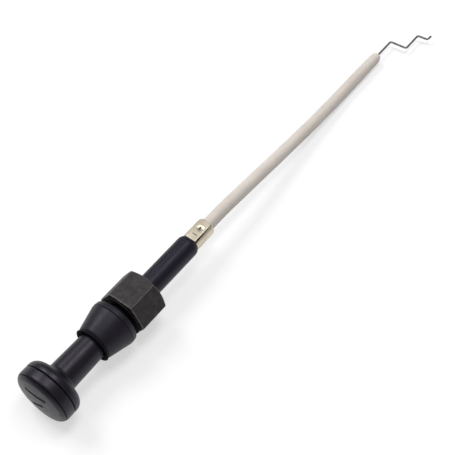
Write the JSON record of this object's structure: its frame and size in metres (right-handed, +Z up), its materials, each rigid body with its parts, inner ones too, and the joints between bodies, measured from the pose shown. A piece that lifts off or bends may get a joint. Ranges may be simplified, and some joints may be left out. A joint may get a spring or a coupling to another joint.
{
  "type": "choke cable",
  "caption": "Push-pull choke cable: mushroom knob on a shank, conical dust boot, threaded panel body with hex nut, sleeve, folded ferrule and nylon conduit with a zig-zag wire end.",
  "frame": {"origin": "on the table under the middle of the rigid pieces, knob front to ferrule end", "axes": "+X along the cable from the knob to the wire end, +Z up, and -Y the side that the zig-zag wire end turns to"},
  "size_m": [0.2598, 0.025, 0.0243],
  "materials": {
    "black_plastic": "moulded black nylon, satin",
    "black_rubber": "moulded black rubber, matt",
    "sleeve_plastic": "smooth blue-black plastic sleeve",
    "blackened_metal": "blackened zinc alloy",
    "phosphated_steel": "mottled dark phosphated steel",
    "bright_steel": "drawn bright steel",
    "zinc_plate": "zinc-plated steel",
    "brass": "plain turned brass",
    "nickel_sheet": "warm nickel-plated sheet",
    "natural_nylon": "translucent natural nylon"
  },
  "bodies": {
    "housing": {"threaded_body": "blackened_metal", "friction_nut": "brass", "rod_seal": "black_rubber", "guide_bush": "natural_nylon", "dust_boot": "black_rubber", "rear_sleeve": "sleeve_plastic", "ferrule": "nickel_sheet", "conduit": "natural_nylon", "core_wire_middle": "bright_steel"},
    "knob": {"knob_cap": "black_plastic", "knob_stem": "black_plastic", "knob_washer": "zinc_plate", "knob_nut": "zinc_plate", "pull_rod": "bright_steel", "wire_anchor": "brass", "core_wire_front": "bright_steel"},
    "washer": {"panel_washer": "blackened_metal"},
    "nut": {"panel_nut": "phosphated_steel"},
    "wire_end": {"wire_tip": "bright_steel"}
  },
  "joints": [
    {"name": "knob_slide", "type": "slide", "parent": "housing", "child": "knob", "axis": [-1, 0, 0], "range_m": [0, 0.0105]},
    {"name": "wire_end_slide", "type": "slide", "parent": "housing", "child": "wire_end", "axis": [-1, 0, 0], "range_m": [0, 0.0105]},
    {"name": "washer_slide", "type": "slide", "parent": "housing", "child": "washer", "axis": [1, 0, 0], "range_m": [-0.0018, 0.0061]},
    {"name": "nut_turn", "type": "hinge", "parent": "washer", "child": "nut", "pos_m": [-0.00325, 0, 0.01215], "axis": [1, 0, 0], "range_deg": [-648, 2160]}
  ],
  "couplings": [
    {"joint": "wire_end_slide", "follows": "knob_slide", "ratio": 1},
    {"joint": "washer_slide", "follows": "nut_turn", "m_per_rad": 0.00015915}
  ]
}
